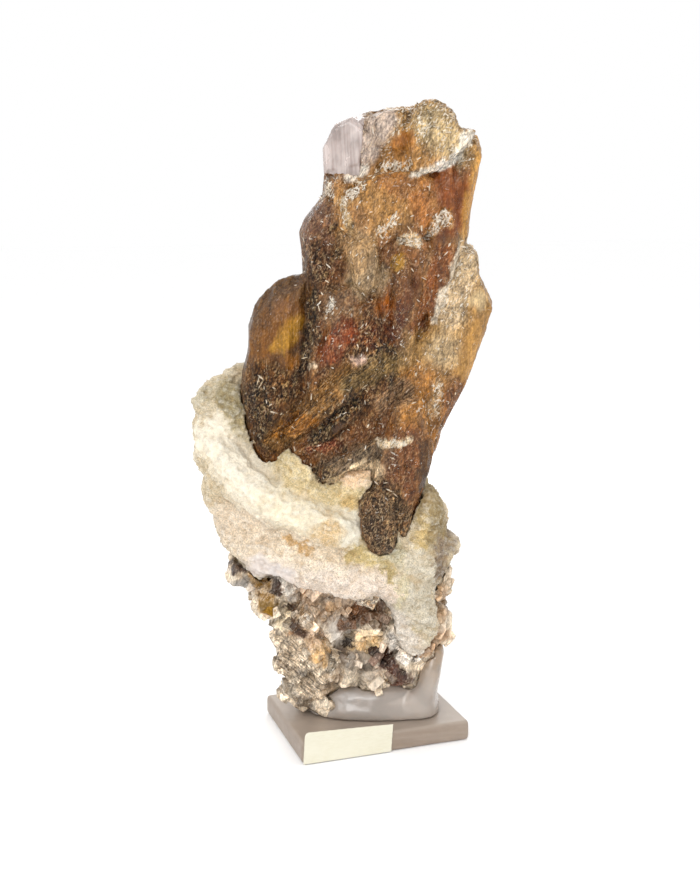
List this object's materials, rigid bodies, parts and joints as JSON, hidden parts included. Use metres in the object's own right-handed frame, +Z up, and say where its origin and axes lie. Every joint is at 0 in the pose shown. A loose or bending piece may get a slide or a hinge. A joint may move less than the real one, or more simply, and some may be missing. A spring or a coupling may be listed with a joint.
{
  "type": "selenite specimen on a stand",
  "caption": "Tall amber selenite crystals growing from a pale earthy crust on broken gypsum rock, set in resin on a small rectangular stone slab with a blank paper label.",
  "frame": {"origin": "centre of the slab's underside, on the table", "axes": "+X along the slab's front edge, towards its right end as the label faces the viewer; +Y away from the viewer; +Z up. The specimen's best side is turned 19 degrees from the slab's front, about +Z"},
  "size_m": [0.094, 0.0592, 0.2139],
  "materials": {
    "selenite_crystals": "glassy amber, part see-through, with silky broken faces",
    "gypsum_crust": "dry, earthy and pitted, cream to khaki",
    "rubble_rock": "broken, part glassy, mixed brown and grey",
    "setting_resin": "milky, glossy",
    "stone_slab": "satin, slightly see-through at the edges",
    "paper_label": "matt, blank"
  },
  "bodies": {
    "root": {"selenite_crystals": "selenite_crystals", "gypsum_crust": "gypsum_crust", "rubble_rock": "rubble_rock", "setting_resin": "setting_resin", "stone_slab": "stone_slab", "paper_label": "paper_label"}
  },
  "joints": []
}
